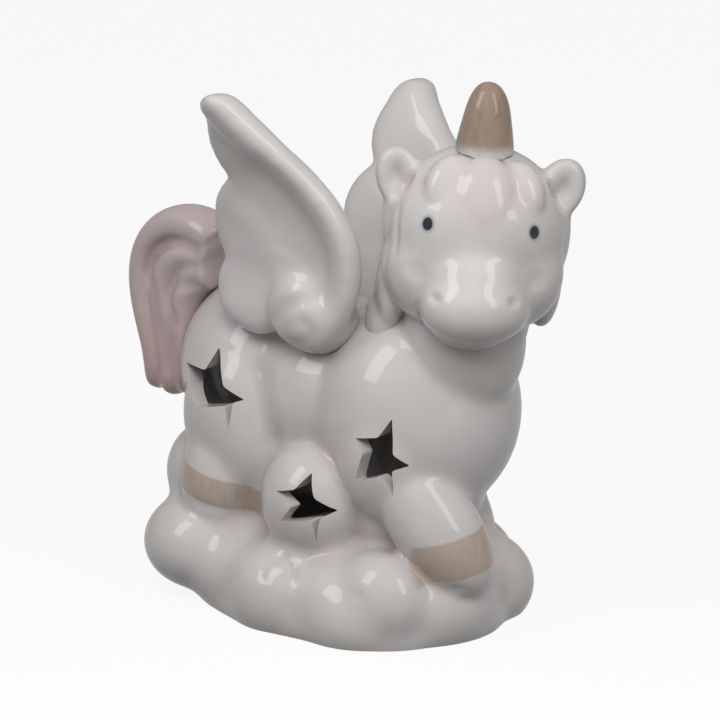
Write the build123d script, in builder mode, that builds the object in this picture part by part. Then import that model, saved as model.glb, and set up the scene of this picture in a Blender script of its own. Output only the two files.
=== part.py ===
from build123d import *
import os
from math import cos, radians, sin

# A porcelain unicorn that lies on a cloud, with star windows and an LED lamp in its base.
# Millimetres, +Z up. The animal faces -Y and its right side is -X.
# The origin is on the table, under the middle of the whole figure's box.

# Where the lamp's axis stands in the figure's box
stand_y = -1.4

# Porcelain
wall = 4.0
overrun = 1.0

# Cloud base, of which the lower half is cut away at the table
cloud_width = 74.0
cloud_length = 104.0
cloud_height = 34.0
foot_height = 3.2
floor_thickness = 3.8
recess_width = 50.0
recess_length = 76.0

# Body of the animal, from the chest to the rump and up to the back
torso_width = 52.0
torso_length = 95.0
back_height = 82.0

# Head, from cheek to cheek, with its place and how it turns and leans
head_width = 43.0
head_x = -2.2
head_y = -38.4
head_z = 95.0
head_turn = 52.0
head_lean = 4.5

# Horn
horn_base_radius = 7.7
horn_shoulder_radius = 5.9
horn_length = 21.5
horn_crown = 7.0
horn_sunk = 3.0
horn_forward = 3.5
horn_rise = 20.5

# Wings
wing_thickness = 5.0
wing_height = 62.0
wing_chord = 43.5
wing_root_x = 24.5
wing_root_z = 80.0
wing_bow_radius = 88.0
wing_foot_z = 69.0
wing_back_y = 23.5
wing_bow_angle = 40.0
wing_rim_back = 6.0
wing_rim_up = 3.5
wing_rim_rise = 1.6
wing_scroll_radius = 8.6
scroll_rise = 4.4
scroll_centre_share = (0.62, 0.15)
wing_joint_x = 16.5
wing_joint_drop = 4.0
wing_joint_half_x = 8.0
wing_joint_half_y = 10.0
wing_joint_half_z = 8.0
left_wing_drop = 3.0
left_wing_forward = 2.5

# Tail
tail_reach = 30.0
tail_height = 50.0
tail_foot_z = 45.0
tail_root_y = 38.0
tail_x = -6.0
strand_half_width = 7.0
strand_half_depth = 4.8

# Star windows
star_radius = 10.0
star_waist_radius = 4.1
star_corner_radius = 0.35
window_depth = 15.0
window_reach = 8.0

# Lamp housing
lamp_radius = 17.6
lamp_hole_clearance = 0.6
flange_radius = 21.5
plate_bottom = 1.0
plate_thickness = 1.8
cup_top = 15.0
lamp_wall = 1.4
tape_inner_radius = 18.8
tape_margin = 0.3
flange_bevel = 0.5
cap_round = 0.8
cap_thickness = 1.6
cap_skirt = 1.2
fit_gap = 0.15

# Coin cell and its bay
cell_radius = 10.0
cell_thickness = 3.2
cell_step = 0.5
cell_rim = 1.2
cell_round = 0.4
cell_gap = 0.2
bay_y = stand_y - 2.4
bay_wall = 1.4
shelf_thickness = 1.0

# Twist cover of the bay
cover_radius = 12.4
cover_gap = 0.2
cover_disc = 1.2
cover_boss_radius = 11.0
cover_boss_wall = 1.6
coin_slot_length = 15.0
coin_slot_width = 1.8
coin_slot_depth = 0.8
lug_count = 3
lug_angle = 24.0
lug_turn = 90.0
lug_reach = 1.1
lug_thickness = 0.9
ledge_thickness = 0.8
twist_angle = 40.0
notch_spare_angle = 6.0

# Circuit
board_radius = 15.9
board_thickness = 1.2
strip = 0.3
contact_width = 4.0
contact_tab = 2.6
finger_width = 2.0
finger_root = 7.0
finger_bend = 3.5
led_radius = 2.5
led_flange_radius = 2.9
led_flange = 1.0
led_height = 8.6
led_stand = 0.6
led_hole_gap = 0.3
lead = 0.5
lead_pitch = 2.54
lead_below = 0.7
resistor_radius = 0.9
resistor_length = 3.4
resistor_x = 7.0
resistor_y = 5.0
resistor_lead = 0.45
resistor_span = 6.4
post_x = 12.4
post_y = 6.6
post_radius = 1.8
screw_radius = 0.8
screw_length = 5.0
screw_gap = 0.08
screw_head_radius = 1.6
screw_head_height = 1.0
screw_slot = 2.0

# Slide switch
switch_length = 8.5
switch_width = 3.5
switch_height = 3.6
switch_travel = 2.0
switch_y = stand_y + 13.5
knob_length = 2.4
knob_width = 2.0
knob_below = 0.4
knob_gap = 0.25
stem_length = 1.4
stem_width = 1.2
stem_height = 1.4
switch_pin = 0.5
switch_pin_pitch = 2.5

# How a unit ball is turned before it is drawn out
ball_turn_x = 37.0
ball_turn_z = 23.0

# Levels that follow from the sizes above
floor_top = foot_height + floor_thickness
plate_top = plate_bottom + plate_thickness
ledge_top = plate_top + ledge_thickness
lug_bottom = ledge_top + cell_gap
lug_top = lug_bottom + lug_thickness
cell_bottom = lug_top + cell_gap
cell_top = cell_bottom + cell_thickness
board_bottom = cell_top + shelf_thickness + strip
board_top = board_bottom + board_thickness
lamp_bore = lamp_radius - lamp_wall
cap_top = cup_top + cap_thickness
collar_radius = cover_radius + cover_gap + bay_wall


def turned_ball():
    """A unit ball of two half faces, turned so that its poles and edges stay off the mirror plane."""
    meridian = Edge.make_circle(1, plane=Plane.XZ, start_angle=-90, end_angle=90)
    half_faces = [Face.revolve(meridian.rotate(Axis.Z, turn), 180, Axis.Z) for turn in (0, 180)]
    return Solid(Shell(half_faces)).rotate(Axis.X, ball_turn_x).rotate(Axis.Z, ball_turn_z)


class Ellipsoid(BasePartObject):
    """A ball drawn out to three half sizes."""

    def __init__(self, half_x, half_y, half_z, rotation=(0, 0, 0), mode=Mode.ADD):
        ball = scale(turned_ball(), by=(half_x, half_y, half_z), mode=Mode.PRIVATE)
        super().__init__(part=ball, rotation=rotation, mode=mode)


def formed(share_rows, width, length, height, at_y=0):
    """Places, half sizes and tilts of clay forms, from rows of shares of three sizes."""
    forms = []
    for x, y, z, half_x, half_y, half_z, tilt_x, tilt_y in share_rows:
        place = (x * width, at_y + y * length, z * height)
        halves = (half_x * width, half_y * length, half_z * height)
        forms.append((place, halves, (tilt_x, tilt_y, 0)))
    return forms


def both_sides(forms):
    """The forms and their mirror images on the animal's other side."""
    mirrored = [((-x, y, z), halves, (tx, -ty, tz)) for (x, y, z), halves, (tx, ty, tz) in forms]
    return forms + mirrored


def add_forms(forms, inset=0):
    """Joins the forms to the open part, each drawn in by the inset."""
    for place, halves, tilt in forms:
        with Locations(place):
            Ellipsoid(*(half - inset for half in halves), rotation=tilt)


def write(piece, label):
    """Labels a finished piece and writes its STEP file."""
    piece.part.label = label
    export_step(piece.part, f"parts/{label}.step")


os.makedirs("parts", exist_ok=True)

# Each row of a table of shares: place across, along and up, three half sizes, two tilts in degrees.
# Cloud: shares of its width, length and height
cloud_core_shares = [
    (0, -0.02, 0.34, 0.40, 0.42, 0.49, 0, 0),
]
cloud_side_shares = [
    (-0.31, -0.155, 0.21, 0.185, 0.150, 0.38, 0, 0),
    (-0.33, 0.01, 0.20, 0.205, 0.16, 0.41, 0, 0),
    (-0.23, 0.18, 0.26, 0.22, 0.155, 0.42, 0, 0),
    (-0.28, 0.31, 0.40, 0.215, 0.155, 0.37, 0, 0),
    (-0.13, 0.360, 0.85, 0.20, 0.125, 0.40, 0, 0),
]
cloud_front_shares = [
    (-0.34, -0.215, 0.50, 0.12, 0.09, 0.38, 0, 0),
    (-0.13, -0.30, 0.22, 0.23, 0.165, 0.42, 0, 0),
    (0.12, -0.27, 0.20, 0.22, 0.160, 0.40, 0, 0),
]
star_puff_shares = [(-0.27, -0.04, 0.91, 0.19, 0.135, 0.43, 0, 0)]

# Torso, haunches and shoulders: shares of the torso's width and length and of the back's height
torso_shares = [
    (0, -0.21, 0.635, 0.50, 0.274, 0.340, 0, 0),
    (0, 0.03, 0.66, 0.47, 0.30, 0.280, 0, 0),
    (0, 0.25, 0.69, 0.48, 0.268, 0.305, 0, 0),
]
waist_shares = [(0, 0, 0.415, 0.46, 0.40, 0.32, 0, 0)]
haunch_shares = [
    (-0.30, 0.23, 0.57, 0.26, 0.18, 0.26, 0, 0),
    (-0.27, -0.24, 0.54, 0.25, 0.145, 0.21, 0, 0),
]
hind_leg_shares = [(-0.40, 0.275, 0.38, 0.185, 0.105, 0.20, 6, 0)]
foreleg_shares = [
    (-0.30, -0.345, 0.34, 0.20, 0.110, 0.25, -38, -12),
    (0.22, -0.255, 0.27, 0.17, 0.100, 0.20, -30, 10),
]

cloud_size = (cloud_width, cloud_length, cloud_height, stand_y)
torso_size = (torso_width, torso_length, back_height, stand_y)
cloud_core = formed(cloud_core_shares, *cloud_size)
cloud_lobes = both_sides(formed(cloud_side_shares, *cloud_size)) + formed(cloud_front_shares, *cloud_size)
star_puffs = both_sides(formed(star_puff_shares, *cloud_size))
torso = formed(torso_shares + waist_shares, *torso_size)
haunches = both_sides(formed(haunch_shares, *torso_size))
hind_legs = both_sides(formed(hind_leg_shares, *torso_size))
forelegs = formed(foreleg_shares, *torso_size)

# The outsides of the cloud and of the animal's body before they are hollowed: the body and all
# that is luted to the two is cut to these surfaces
with BuildPart() as cloud_form:
    add_forms(cloud_core + cloud_lobes + star_puffs)
    split(bisect_by=Plane.XY, keep=Keep.TOP)
with BuildPart() as animal_form:
    add_forms(torso + haunches)
    add(cloud_form.part, mode=Mode.SUBTRACT)

# The light chamber inside both, one wall in from the largest forms
with BuildPart() as chamber:
    add_forms(cloud_core + star_puffs + torso, inset=wall)
    split(bisect_by=Plane.XY.offset(floor_top), keep=Keep.TOP)


def star_outline(radius, waist, count=5):
    """The corners of a star, its first point upwards."""
    corners = []
    for step in range(2 * count):
        reach = radius if step % 2 == 0 else waist
        angle = radians(90 + step * 180 / count)
        corners.append((reach * cos(angle), reach * sin(angle)))
    return corners


# Star windows on the animal's right side: shares of the cloud's width, length and height for the
# place, the outward direction, and the star's turn in degrees
window_shares = [
    ((-0.345, 0.215, 1.65), (-0.96, -0.02, 0.26), -4),
    ((-0.45, -0.115, 0.95), (-0.96, -0.22, 0.10), -9),
    ((-0.30, -0.26, 1.33), (-0.95, -0.26, 0.05), -13),
]


def window_plane(row, side):
    """The plane of one star window, on the animal's right side (1) or mirrored on its left (-1)."""
    (x, y, z), (out_x, out_y, out_z), turn = row
    place = (side * x * cloud_width, stand_y + y * cloud_length, z * cloud_height)
    outward = (side * out_x, out_y, out_z)
    across = Vector(0, 0, 1).cross(Vector(*outward))
    return Plane(origin=place, x_dir=across, z_dir=outward).rotated((0, 0, side * turn))


# What is cut out for the star windows, on both sides
with BuildPart() as window_cuts:
    for row in window_shares:
        for side in (1, -1):
            with BuildSketch(window_plane(row, side)) as star:
                Polygon(*star_outline(star_radius, star_waist_radius), align=None)
                fillet(star.vertices(), star_corner_radius)
            extrude(amount=window_reach)
            extrude(star.sketch, amount=-window_depth)

# The cloud: a hollow casting, open at the top into the body
with BuildPart() as cloud_base:
    add(cloud_form.part)
    add(chamber.part, mode=Mode.SUBTRACT)
    # Underside: a foot rim round a recess, and the hole for the lamp
    with BuildSketch() as recess:
        with Locations((0, stand_y)):
            Ellipse(recess_width / 2, recess_length / 2)
    extrude(amount=foot_height, mode=Mode.SUBTRACT)
    with BuildSketch() as lamp_hole:
        with Locations((0, stand_y)):
            Circle(lamp_radius + lamp_hole_clearance)
    extrude(amount=floor_top + overrun, mode=Mode.SUBTRACT)
    add(window_cuts.part, mode=Mode.SUBTRACT)
write(cloud_base, "cloud_base")

# The animal's body: a hollow casting that stands open on the cloud
with BuildPart() as body_casting:
    add(animal_form.part)
    add(chamber.part, mode=Mode.SUBTRACT)
    add(window_cuts.part, mode=Mode.SUBTRACT)
write(body_casting, "body_casting")


def cut_to_body():
    """Cuts the open part to the surfaces of the cloud and of the animal's body."""
    add(cloud_form.part, mode=Mode.SUBTRACT)
    add(animal_form.part, mode=Mode.SUBTRACT)


# Legs: solid pieces that are luted into the angle of the body and the cloud
leg_names = ["hind_leg_right", "hind_leg_left", "foreleg_right", "foreleg_left"]
for leg_name, leg_form in zip(leg_names, hind_legs + forelegs):
    with BuildPart() as leg:
        add_forms([leg_form])
        cut_to_body()
        add(window_cuts.part, mode=Mode.SUBTRACT)
    write(leg, leg_name)

# Head: shares of its width, in the head's own frame, where the face looks along -Y
skull_shares = [
    (0, 0, 0.10, 0.50, 0.47, 0.465, 0, 0),
    (-0.20, -0.08, -0.12, 0.30, 0.31, 0.32, 0, 0),
    (0.20, -0.08, -0.12, 0.30, 0.31, 0.32, 0, 0),
    (0, -0.34, -0.27, 0.31, 0.30, 0.225, 0, 0),
    (0, -0.24, -0.42, 0.25, 0.25, 0.15, 0, 0),
]
mane_shares = [
    (-0.22, -0.32, 0.37, 0.17, 0.14, 0.23, -20, 20),
    (0.02, -0.37, 0.32, 0.18, 0.13, 0.25, -20, 0),
    (0.25, -0.32, 0.37, 0.17, 0.14, 0.22, -20, -20),
    (-0.42, 0.06, 0.10, 0.12, 0.22, 0.30, 0, 0),
    (-0.43, 0.06, -0.24, 0.11, 0.18, 0.28, 0, 0),
    (-0.40, 0.02, -0.52, 0.09, 0.12, 0.18, 0, 0),
    (0.42, 0.06, 0.08, 0.12, 0.22, 0.28, 0, 0),
    (0.41, 0.08, -0.20, 0.10, 0.18, 0.25, 0, 0),
    (0, 0.42, 0.10, 0.24, 0.18, 0.42, 0, 0),
    (0, 0.44, -0.28, 0.22, 0.17, 0.36, 0, 0),
]
ear_shares = [(-0.44, 0, 0.345, 0.130, 0.10, 0.180, 0, -20)]
ear_cup_shares = [(-0.445, -0.09, 0.355, 0.075, 0.08, 0.120, 0, -20)]
neck_shares = [(0, 0.16, -0.40, 0.38, 0.38, 0.55, 0, 0)]

head_place = Location((head_x, head_y + stand_y, head_z), (0, 0, -head_turn))
head_frame = head_place * Location((0, 0, 0), (0, head_lean, 0))
head_plane = Plane(head_frame)


def head_forms(share_rows):
    """Forms of the head, in the head's own frame."""
    return formed(share_rows, head_width, head_width, head_width)


# The head's outside before the horn is set on it
with BuildPart(head_plane) as head_form:
    add_forms(head_forms(skull_shares + neck_shares + mane_shares))
    add_forms(both_sides(head_forms(ear_shares)))
    for place, halves, tilt in both_sides(head_forms(ear_cup_shares)):
        with Locations(place):
            Ellipsoid(*halves, rotation=tilt, mode=Mode.SUBTRACT)

with BuildPart() as head_casting:
    add(head_form.part)
    cut_to_body()
write(head_casting, "head_casting")

# Horn: a blunt cone, its foot cut to the forehead
horn_frame = head_frame * Location((0, -horn_forward, horn_rise - horn_sunk))
horn_plane = Plane(horn_frame * Location((0, 0, 0), (90, 0, 0)))
with BuildPart() as horn:
    with BuildSketch(horn_plane) as horn_half:
        with BuildLine() as horn_outline:
            foot = Line((0, 0), (horn_base_radius, 0))
            flank = Line(foot @ 1, (horn_shoulder_radius, horn_length - horn_crown))
            crown = Spline(flank @ 1, (0, horn_length), tangents=(flank % 1, (-1, 0)))
            Line(crown @ 1, (0, 0))
        make_face()
    revolve(axis=Axis(horn_frame.position, Plane(horn_frame).z_dir))
    add(head_form.part, mode=Mode.SUBTRACT)
write(horn, "horn")

# Wing outline, as shares of its chord (forward of its back edge) and height (above its foot)
tip_share = (0.40, 0.945)
lobe_end_shares = [(0.185, 0.893), (0.215, 0.648), (0.092, 0.315), (0.157, 0.053), (0.46, 0.09)]
lobe_middle_shares = [(0.29, 0.983), (0.133, 0.785), (0.030, 0.484), (0.004, 0.177), (0.32, 0.03)]
scroll_bottom_share = (0.61, 0.003)
scroll_front_share = (0.838, 0.077)
lead_shares = [(0.962, 0.242), (0.985, 0.38), (0.93, 0.525), (0.765, 0.685), (0.56, 0.82)]


def wing_points(share_list):
    """Points of the wing's outline, back (+) and up."""
    points = []
    for forward, up in share_list:
        points.append((wing_back_y + stand_y - forward * wing_chord, wing_foot_z + up * wing_height))
    return points


def wing_face(back=0, up=0):
    """The wing's outline seen from its side, moved back and up."""
    with BuildSketch(Plane.YZ) as outline:
        with BuildLine():
            starts = wing_points([tip_share] + lobe_end_shares[:-1])
            ends = wing_points(lobe_end_shares)
            middles = wing_points(lobe_middle_shares)
            for start, middle, end in zip(starts, middles, ends):
                ThreePointArc(start, middle, end)
            bottom, front = wing_points([scroll_bottom_share, scroll_front_share])
            ThreePointArc(ends[-1], bottom, front)
            Spline(front, *wing_points(lead_shares), starts[0])
        make_face()
    return outline.sketch.moved(Location((0, back, up)))


def bowed_layer(face, inner, outer):
    """The outline cut from a slab that bows outwards above the wing's root, on the right side."""
    centre = (-wing_root_x - wing_bow_radius, wing_root_z)
    with BuildPart() as layer:
        with BuildSketch(Plane.XZ) as slab:
            with BuildLine():
                inside = CenterArc(centre, wing_bow_radius + inner, 0, wing_bow_angle)
                outside = CenterArc(centre, wing_bow_radius - outer, 0, wing_bow_angle)
                Line(inside @ 1, outside @ 1)
                low_inside = ((inside @ 0).X, wing_foot_z - overrun)
                low_outside = ((outside @ 0).X, wing_foot_z - overrun)
                Polyline(inside @ 0, low_inside, low_outside, outside @ 0)
            make_face()
        extrude(amount=wing_height, both=True)
        extrude(face, amount=wing_height + wing_root_x, both=True, mode=Mode.INTERSECT)
    return layer.part


whole = wing_face()
rim = whole - wing_face(wing_rim_back, -wing_rim_up)

with BuildPart() as wing_form:
    add(bowed_layer(whole, wing_thickness, 0))
    add(bowed_layer(rim, 0, wing_rim_rise))
    # The scroll that ends the leading rim, and the root that is luted to the shoulder
    scroll_y, scroll_z = wing_points([scroll_centre_share])[0]
    with Locations((-wing_root_x, scroll_y, scroll_z)):
        Ellipsoid(scroll_rise, wing_scroll_radius, wing_scroll_radius)
    with Locations((-wing_joint_x, scroll_y, scroll_z - wing_joint_drop)):
        Ellipsoid(wing_joint_half_x, wing_joint_half_y, wing_joint_half_z)

with BuildPart() as wing_right:
    add(wing_form.part)
    cut_to_body()
write(wing_right, "wing_right")

# The left wing is luted on a little lower and further forward
left_wing_shift = Location((0, -left_wing_forward, -left_wing_drop))
left_wing_form = mirror(wing_form.part, about=Plane.YZ).moved(left_wing_shift)
with BuildPart() as wing_left:
    add(left_wing_form)
    cut_to_body()
write(wing_left, "wing_left")

# Tail: three strands side by side, as shares of its reach back and its height, with the half
# thickness of each section as shares of the first one's
outer_strand_shares = [
    (0.00, 0.86),
    (0.30, 0.93),
    (0.57, 0.89),
    (0.78, 0.75),
    (0.83, 0.56),
    (0.77, 0.38),
    (0.70, 0.22),
    (0.76, 0.04),
]
middle_strand_shares = [
    (0.00, 0.78),
    (0.27, 0.79),
    (0.47, 0.72),
    (0.57, 0.58),
    (0.55, 0.40),
    (0.50, 0.22),
    (0.57, 0.02),
]
inner_strand_shares = [
    (0.00, 0.70),
    (0.20, 0.65),
    (0.33, 0.54),
    (0.35, 0.40),
    (0.32, 0.22),
    (0.38, 0.04),
]
taper_shares = [1.0, 1.0, 1.0, 0.98, 0.95, 0.90, 0.86, 0.84, 0.84, 0.80, 0.45]

with BuildPart() as tail:
    for strand in (outer_strand_shares, middle_strand_shares, inner_strand_shares):
        points = []
        for back, up in strand:
            points.append((tail_x, tail_root_y + stand_y + back * tail_reach, tail_foot_z + up * tail_height))
        path = Spline(*points, mode=Mode.PRIVATE)
        for number, share in enumerate(taper_shares):
            at = number / (len(taper_shares) - 1)
            with BuildSketch(Plane(path @ at, x_dir=(1, 0, 0), z_dir=path % at)):
                Ellipse(strand_half_width * share, strand_half_depth * share)
        loft()
    cut_to_body()
write(tail, "tail")

# Lamp housing: a flange and plate under the floor, and a cup up through its hole
lamp_centre = (0, stand_y)
bay_centre = (0, bay_y)


def ring(level, height, centre, outer, inner=0, mode=Mode.ADD):
    """A level disc or ring of the open part."""
    with BuildSketch(Plane.XY.offset(level)) as outline:
        with Locations(centre):
            Circle(outer)
            if inner:
                Circle(inner, mode=Mode.SUBTRACT)
    extrude(outline.sketch, amount=height, mode=mode)


def block(level, height, centre, length, width, mode=Mode.ADD):
    """A level rectangular block of the open part."""
    with BuildSketch(Plane.XY.offset(level)) as outline:
        with Locations(centre):
            Rectangle(length, width)
    extrude(outline.sketch, amount=height, mode=mode)


def sectors(level, height, inner, outer, middle_angle, sweep, mode=Mode.ADD):
    """Equal sectors of a ring round the bay's axis, one for each lug of the cover."""
    for number in range(lug_count):
        first_angle = middle_angle + number * 360 / lug_count - sweep / 2
        with BuildSketch(Plane.XY.offset(level)) as outline:
            with BuildLine():
                far = CenterArc(bay_centre, outer, first_angle, sweep)
                near = CenterArc(bay_centre, inner, first_angle, sweep)
                Line(far @ 0, near @ 0)
                Line(far @ 1, near @ 1)
            make_face()
        extrude(outline.sketch, amount=height, mode=mode)


cover_bore = cover_radius + cover_gap
cell_bore = cell_radius + cell_gap
post_places = [(side * post_x, stand_y + post_y) for side in (-1, 1)]

with BuildPart() as lamp_base:
    ring(plate_bottom, plate_thickness, lamp_centre, flange_radius)
    chamfer(lamp_base.edges().group_by(Axis.Z)[0], flange_bevel)
    ring(plate_top, cup_top - plate_top, lamp_centre, lamp_radius, lamp_bore)
    # Collar of the battery bay, and the ring that holds the cell and carries the board
    ring(plate_top, cell_bottom + shelf_thickness - plate_top, bay_centre, collar_radius)
    ring(cell_bottom, board_bottom - cell_bottom, bay_centre, cell_bore + bay_wall)
    for place in post_places:
        ring(plate_top, board_bottom - plate_top, place, post_radius)
    # The bay from below: the cover's seat, the ledge its lugs turn on, their room and the cell's
    ring(plate_bottom, plate_thickness, bay_centre, cover_bore, mode=Mode.SUBTRACT)
    ring(plate_top, ledge_thickness, bay_centre, cover_boss_radius + cover_gap, mode=Mode.SUBTRACT)
    notch_reach = (cover_boss_radius, cover_boss_radius + lug_reach + cover_gap)
    notch_turn = lug_turn - twist_angle
    notch_sweep = lug_angle + notch_spare_angle
    sectors(plate_top, ledge_thickness, *notch_reach, notch_turn, notch_sweep, mode=Mode.SUBTRACT)
    ring(ledge_top, cell_bottom - ledge_top, bay_centre, cover_bore, mode=Mode.SUBTRACT)
    ring(cell_bottom, board_bottom - cell_bottom, bay_centre, cell_bore, mode=Mode.SUBTRACT)
    # Slots for the contact and for the switch knob, and the pilot holes of the posts
    contact_slot = (2 * strip + cell_gap, contact_width + 2 * cell_gap)
    block(cell_bottom, board_bottom - cell_bottom, (cell_bore, bay_y), *contact_slot, mode=Mode.SUBTRACT)
    knob_room = (knob_length + switch_travel + 2 * knob_gap, knob_width + 2 * knob_gap)
    block(plate_bottom, plate_thickness, (0, switch_y), *knob_room, mode=Mode.SUBTRACT)
    pilot_depth = screw_length + overrun
    for place in post_places:
        ring(board_bottom - pilot_depth, pilot_depth, place, screw_radius + screw_gap, mode=Mode.SUBTRACT)
write(lamp_base, "lamp_base")

# Cap: pushed into the cup, its skirt down on the board, with a hole for the LED
skirt_radius = lamp_bore - fit_gap
with BuildPart() as lamp_cap:
    ring(cup_top, cap_thickness, lamp_centre, lamp_radius)
    fillet(lamp_cap.edges().group_by(Axis.Z)[-1], cap_round)
    ring(board_top, cup_top - board_top, lamp_centre, skirt_radius, skirt_radius - cap_skirt)
    ring(board_top, cap_top - board_top, lamp_centre, led_radius + led_hole_gap, mode=Mode.SUBTRACT)
    for place in post_places:
        ring(board_top, screw_head_height + cell_gap, place, screw_head_radius + cell_gap, mode=Mode.SUBTRACT)
write(lamp_cap, "lamp_cap")

# Foam tape between the flange and the porcelain
with BuildPart() as adhesive_ring:
    ring(plate_top, foot_height - plate_top, lamp_centre, flange_radius - tape_margin, tape_inner_radius)
write(adhesive_ring, "adhesive_ring")

# Battery cover: a disc with a coin slot, and a boss whose lugs lie on the ledge
with BuildPart() as battery_cover:
    ring(plate_bottom, cover_disc, bay_centre, cover_radius)
    boss_bottom = plate_bottom + cover_disc
    boss_inner = cover_boss_radius - cover_boss_wall
    ring(boss_bottom, lug_top - boss_bottom, bay_centre, cover_boss_radius, boss_inner)
    lug_reaches = (cover_boss_radius - cover_boss_wall / 2, cover_boss_radius + lug_reach)
    sectors(lug_bottom, lug_thickness, *lug_reaches, lug_turn, lug_angle)
    block(plate_bottom, coin_slot_depth, bay_centre, coin_slot_length, coin_slot_width, mode=Mode.SUBTRACT)
write(battery_cover, "battery_cover")

# Coin cell: a wide can, and a smaller cap of the other pole on top
with BuildPart() as coin_cell:
    ring(cell_bottom, cell_thickness - cell_step, bay_centre, cell_radius)
    fillet(coin_cell.edges(), cell_round)
    ring(cell_top - cell_step, cell_step, bay_centre, cell_radius - cell_rim)
write(coin_cell, "coin_cell")

# Contacts: bent strips under the board, one on the can's side and one on the top
with BuildPart() as contact_positive:
    with BuildSketch(Plane.XZ.offset(-bay_y)) as clip:
        with BuildLine():
            clip_x = cell_radius + strip / 2
            clip_foot = cell_bottom + shelf_thickness
            board_level = board_bottom - strip / 2
            Polyline((clip_x, clip_foot), (clip_x, board_level), (clip_x - contact_tab, board_level))
        trace(line_width=strip)
    extrude(amount=contact_width / 2, both=True)
write(contact_positive, "contact_positive")

with BuildPart() as contact_negative:
    with BuildSketch(Plane.XZ.offset(-bay_y)) as finger:
        with BuildLine():
            touch_level = cell_top + strip / 2
            Polyline(
                (-finger_root, board_level),
                (-finger_bend, board_level),
                (0, touch_level),
                (finger_bend / 2, touch_level + strip),
            )
        trace(line_width=strip)
    extrude(amount=finger_width / 2, both=True)
write(contact_negative, "contact_negative")

# Board, with its holes
with BuildPart() as circuit_board:
    ring(board_bottom, board_thickness, lamp_centre, board_radius)
    lead_places = [(side * lead_pitch / 2, stand_y) for side in (-1, 1)]
    resistor_ends = [(resistor_x + side * resistor_span / 2, stand_y + resistor_y) for side in (-1, 1)]
    for place in lead_places + resistor_ends:
        ring(board_bottom, board_thickness, place, lead, mode=Mode.SUBTRACT)
    for place in post_places:
        ring(board_bottom, board_thickness, place, screw_radius + screw_gap, mode=Mode.SUBTRACT)
write(circuit_board, "circuit_board")

with BuildPart() as board_screws:
    for place in post_places:
        ring(board_bottom - screw_length, screw_length + board_thickness, place, screw_radius)
        ring(board_top, screw_head_height, place, screw_head_radius)
        slot_depth = screw_head_height / 2
        block(board_top + slot_depth, slot_depth, place, screw_slot, strip, mode=Mode.SUBTRACT)
write(board_screws, "board_screws")

# LED: a domed lens on two leads
led_bottom = board_top + led_stand
with BuildPart() as led_lens:
    with BuildSketch(Plane.XZ.offset(-stand_y)) as led_half:
        with BuildLine():
            led_outline = Polyline(
                (0, led_bottom),
                (led_flange_radius, led_bottom),
                (led_flange_radius, led_bottom + led_flange),
                (led_radius, led_bottom + led_flange),
                (led_radius, led_bottom + led_height - led_radius),
            )
            dome = RadiusArc(led_outline @ 1, (0, led_bottom + led_height), -led_radius)
            Line(dome @ 1, led_outline @ 0)
        make_face()
    revolve(axis=Axis((0, stand_y, 0), (0, 0, 1)))
write(led_lens, "led_lens")

with BuildPart() as led_leads:
    for place in lead_places:
        block(board_bottom - lead_below, led_bottom - board_bottom + lead_below, place, lead, lead)
write(led_leads, "led_leads")

# Resistor: a small barrel on a lead that is bent down into the board at both ends
resistor_level = board_top + resistor_radius + strip
with BuildPart() as resistor:
    with BuildSketch(Plane.YZ.offset(resistor_x - resistor_length / 2)):
        with Locations((stand_y + resistor_y, resistor_level)):
            Circle(resistor_radius)
    extrude(amount=resistor_length)
    fillet(resistor.edges(), resistor_radius / 2)
    with BuildLine() as resistor_wire:
        (start_x, start_y), (end_x, end_y) = resistor_ends
        lead_foot = board_bottom - lead_below
        FilletPolyline(
            (start_x, start_y, lead_foot),
            (start_x, start_y, resistor_level),
            (end_x, end_y, resistor_level),
            (end_x, end_y, lead_foot),
            radius=2 * resistor_lead,
        )
    with BuildSketch(Plane(resistor_wire.line @ 0, z_dir=resistor_wire.line % 0)):
        Circle(resistor_lead / 2)
    sweep(path=resistor_wire.line)
write(resistor, "resistor")

# Slide switch under the board, and its slider, whose knob comes through the plate
with BuildPart() as switch_body:
    block(plate_top, switch_height, (0, switch_y), switch_length, switch_width)
    stem_room = (stem_length + switch_travel + 2 * knob_gap, stem_width + 2 * knob_gap)
    block(plate_top, stem_height + knob_gap, (0, switch_y), *stem_room, mode=Mode.SUBTRACT)
    switch_top = plate_top + switch_height
    for number in (-1, 0, 1):
        pin_place = (number * switch_pin_pitch, switch_y)
        block(switch_top, board_bottom - switch_top, pin_place, switch_pin, switch_pin)
write(switch_body, "switch_body")

with BuildPart() as switch_slider:
    knob_place = (-switch_travel / 2, switch_y)
    knob_bottom = plate_bottom - knob_below
    block(knob_bottom, plate_top - knob_bottom, knob_place, knob_length, knob_width)
    block(plate_top, stem_height, knob_place, stem_length, stem_width)
write(switch_slider, "switch_slider")
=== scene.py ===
import math

import bpy
import numpy as np
from mathutils import Euler, Matrix, Vector
from mathutils.bvhtree import BVHTree


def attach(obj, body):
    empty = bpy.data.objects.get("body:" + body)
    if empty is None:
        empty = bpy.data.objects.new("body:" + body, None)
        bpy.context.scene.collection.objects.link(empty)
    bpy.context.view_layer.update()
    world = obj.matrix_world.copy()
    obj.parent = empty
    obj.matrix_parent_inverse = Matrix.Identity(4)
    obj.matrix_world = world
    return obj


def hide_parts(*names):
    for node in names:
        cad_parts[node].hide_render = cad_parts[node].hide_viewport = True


# A glazed porcelain unicorn with wings that lies on a cloud, with star windows and a lamp inside.
# Sizes in the tables are millimetres in the figure's frame: +Z up, the animal's right side is -X.

bl_info = {
    "name": "Porcelain Unicorn",
    "version": (1, 0, 0),
    "blender": (4, 5, 0),
    "location": "View3D > Sidebar > Porcelain",
    "description": "Models and glazes a porcelain unicorn figurine round its frame",
    "category": "Object",
}

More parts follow.
